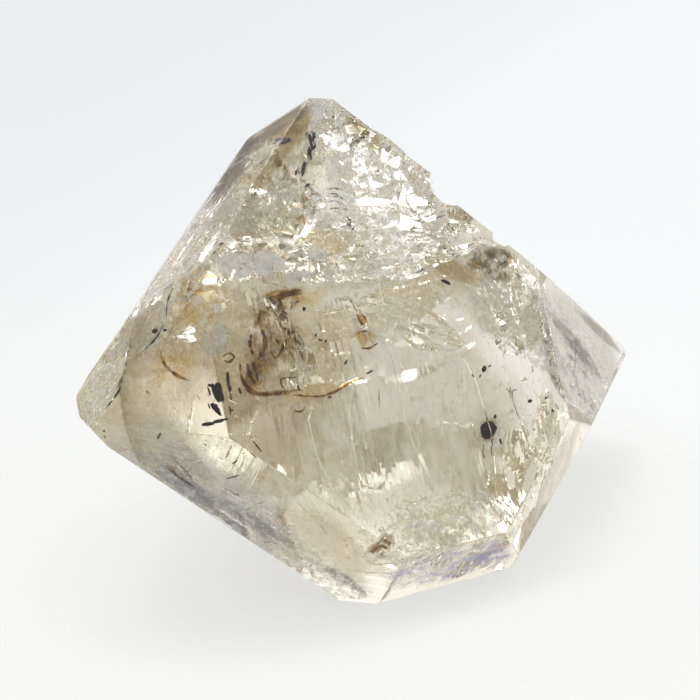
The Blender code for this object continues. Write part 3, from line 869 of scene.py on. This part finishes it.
# What the sheets are finished with: the arguments of each kind of material, by finish
FINISHES = {
    haze: {
        "brown_haze": ("brown_smoky_haze", ((0.35, "#A59275"), (0.5, "#D2C4A8"), (0.65, "#FAF3E4")),
                       2.4, (0.06, 0.4)),
        "tan_haze": ("tan_clay_haze", ((0.35, "#C0A473"), (0.5, "#E6D3AC"), (0.65, "#FFF8E6")),
                     2.4, (0.06, 0.4)),
        "cream_haze": ("cream_clay_haze", ((0.35, "#D6C298"), (0.5, "#FAF0D8"), (0.62, "#FFFFF8")),
                       1.6, (0.05, 0.5)),
        "grey_haze": ("grey_fluid_haze", ((0.35, "#D2C8B4"), (0.5, "#EFE9DC"), (0.65, "#FFFDF6")),
                      3.0, (0.06, 0.32), (0.35, 1.6, 1.6)),
        # painted reflection in blue-grey
        "painted_reflection_haze": ("blue_grey_fluid_haze", (
            (0.35, "#A9ADB9"), (0.5, "#D2D2D4"), (0.65, "#F8F6F2")), 2.4, (0.08, 0.45),
            (1.6, 0.5, 0.5)),
        "brown_ground": ("brown_smoky_ground", (
            (0.38, "#B5A48A"), (0.5, "#DCD1BC"), (0.62, "#FFFBF0")), 2.0, (0.35, 0.8)),
        "tan_ground": ("tan_clay_ground", ((0.38, "#BBA27A"), (0.5, "#DFCFAE"), (0.62, "#FFF6E2")),
                       2.0, (0.35, 0.8)),
        "cream_ground": ("cream_clay_ground", (
            (0.38, "#DCCBA8"), (0.5, "#FBF3E0"), (0.6, "#FFFFFF")), 1.2, (0.45, 0.95)),
        "grey_ground": ("grey_fluid_ground", (
            (0.36, "#CFC3AC"), (0.5, "#EEE8DA"), (0.64, "#FFFFFA")), 3.4, (0.4, 0.8),
            (0.5, 1.4, 1.4)),
        # painted reflection in blue-grey
        "painted_reflection_ground": ("blue_grey_fluid_ground", (
            (0.38, "#B9BBC4"), (0.5, "#DAD9D9"), (0.62, "#FFFEFA")), 1.8, (0.35, 0.8)),
        # painted highlights of flashing cracks, and white crushed quartz
        "white": ("white_crushed_quartz", ((0.35, "#FBF3E2"), (0.5, "#FFFFFF")), 0.6, (0.85, 1.0),
                  (1.0, 1.0, 1.0), 0.1),
        "warm": ("warm_crushed_quartz", ((0.35, "#F6DFA8"), (0.6, "#FFFBEC")), 0.6, (0.8, 1.0),
                 (1.0, 1.0, 1.0), 0.1),
        "pale": ("pale_crushed_quartz", ((0.35, "#CFCBC2"), (0.6, "#F2F1EE")), 0.8, (0.5, 0.9),
                 (1.0, 1.0, 1.0), 0.1),
    },
    stain: {
        "smoke": ("smoky_brown_tint", ((0.35, "#B09A70"), (0.6, "#E2D5B4")), 1.6, 0.15, (0.3, 1.0)),
        # painted reflection: a blue-grey tint
        "painted_reflection_tint": ("slate_grey_tint", ((0.36, "#7C8494"), (0.5, "#B2B6C0"), (0.62, "#F2F2F2")),
                  0.8, 0.1, (0.1, 1.0)),
        "brown": ("dark_brown_iron_patch", ((0.36, "#5E4A30"), (0.5, "#8E7754"), (0.64, "#CDBB98")),
                  0.7, 0.25, (0.1, 1.0)),
        "ochre": ("ochre_iron_film", ((0.38, "#86641F"), (0.5, "#C29B44"), (0.62, "#EBD79C")),
                  0.7, 0.2, (0.1, 0.95)),
        "gold": ("golden_brown_iron_film", (
            (0.38, "#927A3C"), (0.52, "#C2A860"), (0.66, "#EADBA6")), 0.5, 0.15, (0.5, 1.0)),
        # painted shade along the rims, as a grey-brown tint
        "painted_edge_shade": ("grey_umber_tint", ((0.36, "#8B7C66"), (0.5, "#AB9D86"), (0.64, "#D8CDBA")),
                  1.2, 0.12, (0.8, 1.0)),
        "yellow": ("yellow_iron_film", ((0.35, "#F0D590"), (0.5, "#F8E8B8"), (0.65, "#FFF8E0")),
                   0.9, 0.3, (0.4, 1.0)),
    },
    rainbow_film: {
        "lilac": ("thin_crack_with_lilac_and_blue", (
            (0.34, "#B4C4FA"), (0.44, "#CDC2F6"), (0.52, "#F1EAF4"), (0.60, "#F8F5EA"),
            (0.68, "#CFEEFA")), (0.1, 0.75)),
        "straw": ("thin_crack_with_straw_and_cyan", (
            (0.34, "#E8E6EE"), (0.44, "#FAF5E2"), (0.54, "#FFF7D6"), (0.66, "#EFF8EE"),
            (0.72, "#BDF2F6")), (0.15, 0.85)),
    },
    open_crack: {
        "crack": ("open_crack_in_quartz", 2.0, 0.9, 0.0, (), 0.05),
        "crushed": ("crushed_crack_in_quartz", 1.6, 0.85, 0.65,
                    ((0.4, "#EADBBB"), (0.55, "#FFFFFF")), 0.08),
    },
}


class HERKIMER_OT_sheets(bpy.types.Operator):
    """Hazes, veils and cracks sealed in the stone, with painted shade, painted highlights and a
    painted reflection among them
    """
    bl_idname = "herkimer.sheets"
    bl_label = "Cracks and veils"

    def execute(self, context):
        finishes = {key: make(*row) for make, rows in FINISHES.items() for key, row in rows.items()}
        far_side = clear_film()
        for i, (name, finish, pixel, depth, long, wide, turn, bend, *broken) in enumerate(SHEETS):
            leans, cells, tilt = broken or (None, 0, 0)
            relief = flaked(cells, tilt, i, bend) if cells else shell(bend, 0.03, 7.0, i)
            axes = picture_axes(turn, long, wide, *(leans or face_leans(*pixel)))
            fine = (71, 200) if cells > 100 else (41, 120) if cells else (21, 64)
            sheet(name, (finishes[finish], far_side), inside(*pixel, depth), axes, relief, *fine, i,
                  not cells)
        return {"FINISHED"}


# Clusters of loose flakes: pixel, depth, half spread right, up and in depth in mm, number, and the
# smallest and largest half length in mm
FLAKES = (
    ((256, 175), 2.0, 3.2, 4.2, 1.4, 260, 0.08, 0.40),
    ((370, 175), 1.8, 3.6, 3.8, 1.0, 420, 0.08, 0.50),
    ((240, 255), 2.4, 3.2, 2.4, 1.6, 200, 0.15, 0.90),
    ((330, 240), 2.2, 5.6, 2.6, 1.4, 480, 0.10, 0.65),
    ((430, 240), 2.4, 3.2, 2.4, 1.4, 160, 0.12, 0.60),
    ((520, 310), 2.4, 3.4, 3.0, 1.6, 240, 0.12, 0.60),
    ((150, 340), 1.6, 1.8, 3.6, 0.9, 200, 0.08, 0.35),
    ((190, 430), 2.2, 3.6, 3.0, 1.4, 160, 0.08, 0.45),
    ((300, 540), 1.8, 4.4, 2.6, 1.0, 260, 0.06, 0.30),
    ((430, 520), 1.6, 4.4, 1.8, 0.8, 200, 0.08, 0.40),
    ((540, 430), 2.4, 1.8, 4.0, 1.2, 120, 0.08, 0.50),
    ((300, 350), 3.0, 3.6, 3.4, 1.6, 160, 0.08, 0.40),
    ((420, 380), 5.0, 5.6, 4.6, 3.0, 160, 0.05, 0.25),
)


class HERKIMER_OT_flakes(bpy.types.Operator):
    """Small loose cleavage flakes that glitter in the cracked parts"""
    bl_idname = "herkimer.flakes"
    bl_label = "Flakes"

    def execute(self, context):
        rng = np.random.default_rng(21)
        centres, half = [], []
        for pixel, depth, right, up, deep, number, low, high in FLAKES:
            ball = unit(rng.normal(size=(number, 3))) * rng.random((number, 1)) ** 0.4
            spot = inside(*pixel, depth)
            centres.append(spot + (ball[:, :1] * right * RIGHT + ball[:, 1:2] * up * UP
                                   + ball[:, 2:] * deep * NEAR) * MM)
            half.append(low * (high / low) ** (rng.random(number) ** 1.6))
        centres, half = np.concatenate(centres), np.concatenate(half) * MM
        n = unit(rng.normal(size=centres.shape) + NEAR * 0.9)
        a = unit(np.cross(n, unit(rng.normal(size=centres.shape))))
        b = np.cross(n, a) * rng.uniform(0.15, 0.65, (len(n), 1))
        bodies = lens_bodies(centres, a * half[:, None], b * half[:, None],
                             np.full(len(n), 0.008 * MM), 3, 7, 0.12, flat, rng)
        material = open_crack("loose_cleavage_flakes", 1.0, 1.0, 0.0, (), 0.03)
        mesh_object("cleavage_flakes", kept_inside(bodies, 0.1 * MM), ring_faces(len(n), 3, 7),
                    (material, clear_film()), smooth=False, sides=face_sides(len(n), 3, 7))
        return {"FINISHED"}


# Dark grains: pixel, depth, half length, half width, half thickness, turn
GRAINS = (
    ((488, 430), 1.2, 0.62, 0.52, 0.45, 80),
    ((487, 419), 1.2, 0.16, 0.10, 0.08, 60),
    ((492, 442), 1.2, 0.20, 0.08, 0.06, 100),
    ((216, 393), 0.8, 0.68, 0.19, 0.10, 113),
    ((212, 386), 0.8, 0.30, 0.10, 0.08, 160),
    ((219, 388), 0.8, 0.34, 0.14, 0.08, 100),
    ((209, 391), 0.8, 0.30, 0.05, 0.04, 108),
    ((216, 409), 0.8, 0.52, 0.17, 0.08, 132),
    ((214, 405), 0.8, 0.26, 0.08, 0.06, 175),
    ((209, 406), 0.8, 0.18, 0.05, 0.04, 112),
    ((208, 424), 0.8, 0.44, 0.12, 0.08, 8),
    ((219, 421), 0.8, 0.40, 0.12, 0.08, 14),
    ((228, 380), 0.8, 0.62, 0.11, 0.06, 88),
    ((230, 389), 0.8, 0.22, 0.10, 0.06, 80),
    ((231, 397), 0.8, 0.24, 0.05, 0.04, 98),
    ((230, 410), 0.8, 0.28, 0.05, 0.04, 98),
    ((232, 410), 0.8, 0.14, 0.04, 0.04, 145),
    ((240, 391), 0.8, 0.22, 0.09, 0.06, 112),
    ((159, 436), 0.8, 0.28, 0.08, 0.06, 65),
    ((104, 431), 0.6, 0.10, 0.08, 0.08, 0),
    ((105, 437), 0.6, 0.08, 0.06, 0.06, 0),
    ((113, 439), 0.6, 0.07, 0.05, 0.05, 0),
    ((257, 446), 1.0, 0.45, 0.05, 0.05, -50),
    ((235, 462), 1.0, 0.25, 0.06, 0.05, 40),
    ((233, 477), 1.0, 0.50, 0.06, 0.05, 20),
    ((209, 249), 0.8, 0.22, 0.12, 0.08, 80),
    ((215, 242), 0.8, 0.24, 0.09, 0.08, 20),
    ((207, 250), 0.8, 0.14, 0.05, 0.05, 0),
    ((285, 141), 0.6, 0.44, 0.20, 0.10, 14),
    ((279, 145), 0.8, 0.16, 0.08, 0.06, 10),
    ((311, 142), 0.6, 0.62, 0.15, 0.10, 108),
    ((309, 153), 0.6, 0.42, 0.20, 0.10, 80),
    ((314, 135), 0.6, 0.28, 0.08, 0.08, 120),
    ((303, 167), 0.6, 0.52, 0.16, 0.08, 58),
    ((299, 173), 0.6, 0.20, 0.09, 0.08, 80),
    ((308, 185), 0.6, 0.22, 0.10, 0.08, 30),
    ((304, 181), 0.6, 0.12, 0.06, 0.06, 0),
    ((349, 227), 0.8, 0.32, 0.10, 0.08, 115),
    ((304, 309), 1.0, 0.16, 0.12, 0.08, 70),
    ((297, 302), 1.0, 0.20, 0.05, 0.04, 40),
    ((292, 307), 1.0, 0.16, 0.04, 0.04, 60),
    ((278, 341), 1.0, 0.20, 0.07, 0.05, 130),
    ((286, 349), 1.0, 0.24, 0.05, 0.04, 130),
    ((316, 335), 1.0, 0.16, 0.06, 0.05, 60),
    ((320, 340), 1.0, 0.14, 0.05, 0.05, 150),
    ((326, 341), 1.0, 0.12, 0.08, 0.06, 60),
    ((298, 388), 1.0, 0.18, 0.08, 0.06, 110),
    ((330, 397), 1.0, 0.16, 0.07, 0.06, 20),
    ((370, 372), 1.0, 0.30, 0.06, 0.05, 25),
    ((346, 362), 1.0, 0.22, 0.06, 0.05, 60),
    ((484, 369), 1.0, 0.26, 0.16, 0.10, 60),
    ((490, 366), 1.0, 0.14, 0.06, 0.06, 20),
    ((480, 376), 1.0, 0.14, 0.05, 0.05, 60),
    ((530, 401), 0.8, 0.14, 0.12, 0.10, 0),
    ((546, 398), 0.8, 0.12, 0.07, 0.06, 60),
    ((553, 411), 0.8, 0.12, 0.06, 0.06, 0),
    ((556, 421), 0.8, 0.10, 0.06, 0.06, 0),
    ((446, 282), 1.0, 0.42, 0.12, 0.10, -20),
    ((498, 253), 0.8, 0.34, 0.14, 0.10, -20),
    ((506, 260), 0.8, 0.20, 0.08, 0.08, 60),
    ((165, 330), 0.6, 0.12, 0.09, 0.08, 0),
    ((154, 331), 0.6, 0.14, 0.10, 0.08, 40),
)


class HERKIMER_OT_grains(bpy.types.Operator):
    """Dark grains and laths sealed in the quartz"""
    bl_idname = "herkimer.grains"
    bl_label = "Dark grains"

    def execute(self, context):
        rng = np.random.default_rng(7)
        centres = np.array([inside(*pixel, depth) for pixel, depth, *_ in GRAINS])
        axes = np.array([picture_axes(turn, long, wide, 0.2, 0.2)
                         for _, _, long, wide, _, turn in GRAINS])
        a, b = axes[:, 0], axes[:, 1]
        thick = np.array([row[4] for row in GRAINS]) * MM
        bodies = lens_bodies(centres, a, b, thick, 8, 10, 0.09, flat, rng)
        mesh_object("dark_grains", kept_inside(bodies, 0.05 * MM), ring_faces(len(GRAINS), 8, 10),
                    bitumen(), smooth=False)
        return {"FINISHED"}


# Stain lines along healed cracks: pixels, depth, half width and half thickness
BROWN_LINES = (
    (((303, 290), (290, 292), (277, 296), (266, 303), (260, 312), (257, 326)), 1.2, 0.09, 0.05),
    (((302, 293), (290, 295), (279, 299), (270, 306), (264, 316)), 1.2, 0.10, 0.05),
    (((279, 301), (283, 308), (284, 317), (291, 326)), 1.1, 0.20, 0.06),
    (((278, 303), (279, 312), (281, 320), (289, 327)), 1.2, 0.12, 0.05),
    (((261, 328), (265, 340), (264, 352), (258, 360)), 1.4, 0.10, 0.05),
    (((251, 333), (250, 345), (253, 355)), 1.4, 0.09, 0.05),
    (((240, 362), (241, 374), (246, 386), (256, 393), (272, 394), (288, 391)), 1.3, 0.12, 0.06),
    (((247, 363), (250, 375), (255, 384)), 1.3, 0.12, 0.05),
    (((252, 360), (256, 372), (258, 382)), 1.3, 0.07, 0.05),
    (((288, 374), (282, 379), (282, 386), (286, 390)), 1.3, 0.05, 0.04),
    (((292, 395), (306, 396), (322, 396), (336, 391), (350, 383), (364, 377)), 1.3, 0.07, 0.04),
    (((294, 411), (302, 411), (306, 404)), 1.2, 0.05, 0.04),
    (((270, 350), (275, 358), (281, 352), (287, 338)), 1.2, 0.07, 0.05),
    (((288, 350), (293, 358), (297, 364)), 1.2, 0.05, 0.04),
    (((160, 350), (165, 365), (178, 376), (191, 381)), 1.2, 0.08, 0.05),
    (((357, 313), (361, 322), (365, 328)), 1.1, 0.05, 0.04),
    (((360, 312), (366, 319), (368, 326)), 1.1, 0.04, 0.04),
    (((355, 336), (360, 332), (368, 331)), 1.1, 0.05, 0.04),
    (((361, 348), (370, 348), (378, 343)), 1.1, 0.06, 0.04),
    (((350, 297), (354, 306), (358, 312)), 1.1, 0.04, 0.04),
    (((182, 297), (188, 299), (195, 294)), 0.8, 0.12, 0.06),
    (((190, 303), (191, 293), (187, 286)), 0.8, 0.10, 0.06),
    (((152, 332), (158, 330)), 0.6, 0.12, 0.08),
    (((222, 357), (229, 353), (234, 357), (229, 362), (223, 360)), 1.2, 0.07, 0.05),
    (((163, 462), (175, 474), (188, 483), (196, 488)), 0.8, 0.08, 0.05),
    (((172, 458), (183, 468), (193, 480)), 0.8, 0.05, 0.04),
    (((372, 552), (380, 546), (391, 545)), 0.8, 0.10, 0.06),
    (((484, 444), (483, 452), (485, 459)), 1.2, 0.05, 0.04),
    (((491, 445), (492, 456)), 1.2, 0.04, 0.04),
)
DARK_LINES = (
    (((316, 131), (313, 139), (315, 146), (310, 152), (311, 159), (306, 164), (304, 172), (301, 177)),
     0.5, 0.07, 0.08),
    # painted shade: these three dark lines follow the edge of the left face
    (((105, 410), (114, 398), (122, 386), (127, 374)), 0.5, 0.05, 0.04),
    (((132, 362), (146, 348), (156, 338), (164, 324)), 0.5, 0.04, 0.03),
    (((166, 318), (168, 300), (174, 280), (180, 262)), 0.5, 0.03, 0.03),
    (((326, 190), (333, 188), (341, 190)), 0.7, 0.03, 0.03),
    (((326, 196), (336, 194), (346, 197)), 0.7, 0.04, 0.03),
    (((324, 203), (334, 201), (344, 204)), 0.7, 0.03, 0.03),
    (((328, 209), (338, 208), (348, 210)), 0.7, 0.03, 0.03),
    (((345, 215), (350, 221), (351, 230)), 0.7, 0.04, 0.03),
    (((506, 388), (510, 393), (511, 402)), 1.0, 0.03, 0.03),
    (((510, 393), (516, 389)), 1.0, 0.03, 0.03),
    (((379, 388), (379, 398), (380, 408)), 1.0, 0.02, 0.02),
    (((400, 236), (415, 228), (430, 220), (446, 215)), 0.5, 0.03, 0.03),
)


class HERKIMER_OT_stains(bpy.types.Operator):
    """Brown lines of iron along healed cracks, dark lines of bitumen, and dark lines of painted shade
    along the left face's edge
    """
    bl_idname = "herkimer.stains"
    bl_label = "Stains"

    def execute(self, context):
        rust = stain("brown_iron_film", ((0.38, "#8E6E32"), (0.5, "#C4A562"), (0.62, "#EEDDA8")),
                     0.35, 0.12, (1.0, 1.0))
        strands("rust_lines", rust, BROWN_LINES, 0.3)
        strands("bitumen_and_painted_edge_lines", bitumen(), DARK_LINES, 0.6)
        return {"FINISHED"}


class HERKIMER_PT_panel(bpy.types.Panel):
    bl_label = "Herkimer Diamond"
    bl_idname = "HERKIMER_PT_panel"
    bl_space_type = "VIEW_3D"
    bl_region_type = "UI"
    bl_category = "Herkimer"

    def draw(self, context):
        for kind in PIECES:
            self.layout.operator(kind.bl_idname)
        for name in ("ior", "smoke", "smoke_density", "growth_steps", "step_depth", "ripple"):
            self.layout.prop(context.scene.herkimer_crystal, name)
        for name in ("floor_radius", "floor_glow", "sky"):
            self.layout.prop(context.scene.herkimer_stage, name)


PIECES = (HERKIMER_OT_stage, HERKIMER_OT_crystal, HERKIMER_OT_sheets, HERKIMER_OT_flakes,
          HERKIMER_OT_grains, HERKIMER_OT_stains)
CLASSES = (HerkimerCrystalSettings, HerkimerStageSettings, *PIECES, HERKIMER_PT_panel)


def register():
    for kind in CLASSES:
        bpy.utils.register_class(kind)
    bpy.types.Scene.herkimer_crystal = bpy.props.PointerProperty(type=HerkimerCrystalSettings)
    bpy.types.Scene.herkimer_stage = bpy.props.PointerProperty(type=HerkimerStageSettings)


def unregister():
    del bpy.types.Scene.herkimer_stage
    del bpy.types.Scene.herkimer_crystal
    for kind in reversed(CLASSES):
        bpy.utils.unregister_class(kind)


def main():
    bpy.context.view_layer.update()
    register()
    bpy.ops.herkimer.stage()
    bpy.ops.herkimer.crystal()
    bpy.ops.herkimer.sheets()
    bpy.ops.herkimer.flakes()
    bpy.ops.herkimer.grains()
    bpy.ops.herkimer.stains()
    bpy.context.view_layer.update()


if __name__ == "__main__":
    main()
